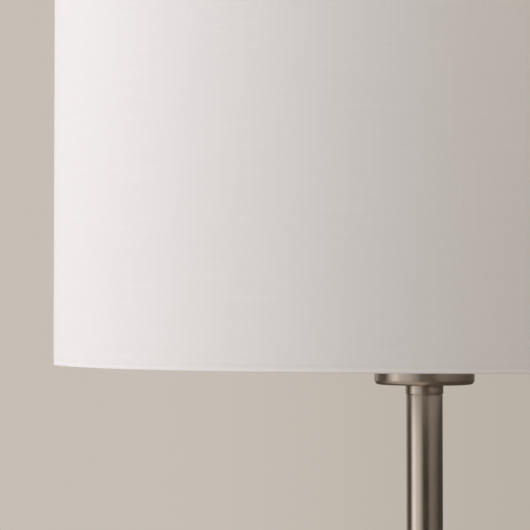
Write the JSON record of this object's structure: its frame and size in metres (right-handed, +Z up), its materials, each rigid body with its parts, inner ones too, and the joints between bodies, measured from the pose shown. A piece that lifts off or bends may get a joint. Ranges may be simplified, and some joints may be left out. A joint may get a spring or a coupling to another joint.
{
  "type": "floor lamp",
  "caption": "Floor lamp with a straight satin nickel pole on a round weighted base, a turn-key lampholder on a shallow cup, and a white fabric drum shade held on a harp by a finial.",
  "frame": {"origin": "on the floor under the centre of the round base", "axes": "+Z up along the pole; -Y is the front, where the switch key is; the mains lead's gland is at +Y"},
  "size_m": [0.406, 0.406, 1.5083],
  "materials": {
    "satin_nickel": "satin brushed nickel plate, brushed round the axis",
    "polished_brass": "bright brass plate under clear lacquer",
    "zinc_steel": "zinc plated steel",
    "cast_iron": "raw casting with a dark primer",
    "black_felt": "needled felt",
    "black_nylon": "moulded nylon",
    "phenolic": "black moulded phenolic",
    "pressboard": "plain brown pressboard",
    "white_fabric": "fine plain weave cotton and linen blend, laminated",
    "white_styrene": "smooth white styrene sheet",
    "white_enamel": "white powder coat",
    "bulb_plastic": "white moulded plastic",
    "opal_diffuser": "frosted opal diffuser",
    "bulb_glass": "black glass seal"
  },
  "bodies": {
    "stand": {"base_pad": "black_felt", "base_weight": "cast_iron", "base_cover": "satin_nickel", "lead_gland": "black_nylon", "base_washer": "zinc_steel", "base_nut": "zinc_steel", "base_stud": "zinc_steel", "foot_collar": "satin_nickel", "pole_lower": "satin_nickel", "pole_middle": "satin_nickel", "pole_upper": "satin_nickel", "coupler_lower": "zinc_steel", "coupler_middle": "zinc_steel", "foot_plug": "zinc_steel", "head_collar": "satin_nickel", "head_stud": "zinc_steel", "socket_cup": "satin_nickel", "cup_lid": "satin_nickel", "cup_nut": "zinc_steel", "cup_spacer": "zinc_steel", "harp_saddle": "polished_brass", "socket_cap": "polished_brass", "set_screw": "zinc_steel", "socket_shell": "polished_brass", "socket_liner": "pressboard", "socket_core": "phenolic", "terminal_screw_left": "polished_brass", "terminal_screw_right": "polished_brass", "screw_shell": "polished_brass", "centre_contact": "polished_brass"},
    "switch": {"switch_key": "phenolic"},
    "bulb_tip": {"bulb_contact": "polished_brass"},
    "bulb": {"bulb_insulator": "bulb_glass", "bulb_cap": "zinc_steel", "bulb_body": "bulb_plastic", "bulb_globe": "opal_diffuser"},
    "harp": {"harp_loop": "polished_brass"},
    "left_sleeve": {"harp_sleeve_left": "polished_brass"},
    "right_sleeve": {"harp_sleeve_right": "polished_brass"},
    "swivel": {"swivel_stud": "polished_brass"},
    "shade": {"shade_fabric": "white_fabric", "shade_liner": "white_styrene", "shade_upper_ring": "white_enamel", "shade_lower_ring": "white_enamel", "shade_spider": "white_enamel"},
    "finial_core": {"finial_insert": "polished_brass"},
    "finial": {"finial_knob": "satin_nickel"}
  },
  "joints": [
    {"name": "switch_turn", "type": "hinge", "parent": "stand", "child": "switch", "pos_m": [0, 0, 1.2535], "axis": [0, -1, 0], "continuous": true},
    {"name": "bulb_rise", "type": "slide", "parent": "stand", "child": "bulb_tip", "axis": [0, 0, 1], "range_m": [0, 0.0182]},
    {"name": "bulb_turn", "type": "hinge", "parent": "bulb_tip", "child": "bulb", "pos_m": [0, 0, 1.2591], "axis": [0, 0, 1], "range_deg": [0, 1800]},
    {"name": "harp_lift", "type": "slide", "parent": "stand", "child": "harp", "axis": [0, 0, 1], "range_m": [0, 0.025]},
    {"name": "left_sleeve_lift", "type": "slide", "parent": "harp", "child": "left_sleeve", "axis": [0, 0, 1], "range_m": [0, 0.012]},
    {"name": "right_sleeve_lift", "type": "slide", "parent": "harp", "child": "right_sleeve", "axis": [0, 0, 1], "range_m": [0, 0.012]},
    {"name": "shade_turn", "type": "hinge", "parent": "harp", "child": "swivel", "pos_m": [0, 0, 1.4779], "axis": [0, 0, 1], "continuous": true},
    {"name": "shade_lift", "type": "slide", "parent": "swivel", "child": "shade", "axis": [0, 0, 1], "range_m": [0, 0.3]},
    {"name": "finial_rise", "type": "slide", "parent": "shade", "child": "finial_core", "axis": [0, 0, 1], "range_m": [0, 0.0085]},
    {"name": "finial_turn", "type": "hinge", "parent": "finial_core", "child": "finial", "pos_m": [0, 0, 1.4823], "axis": [0, 0, 1], "range_deg": [0, 3253]}
  ],
  "couplings": [
    {"joint": "bulb_rise", "follows": "bulb_turn", "m_per_rad": 0.00057751},
    {"joint": "finial_turn", "follows": "finial_rise", "rad_per_m": 6679}
  ]
}
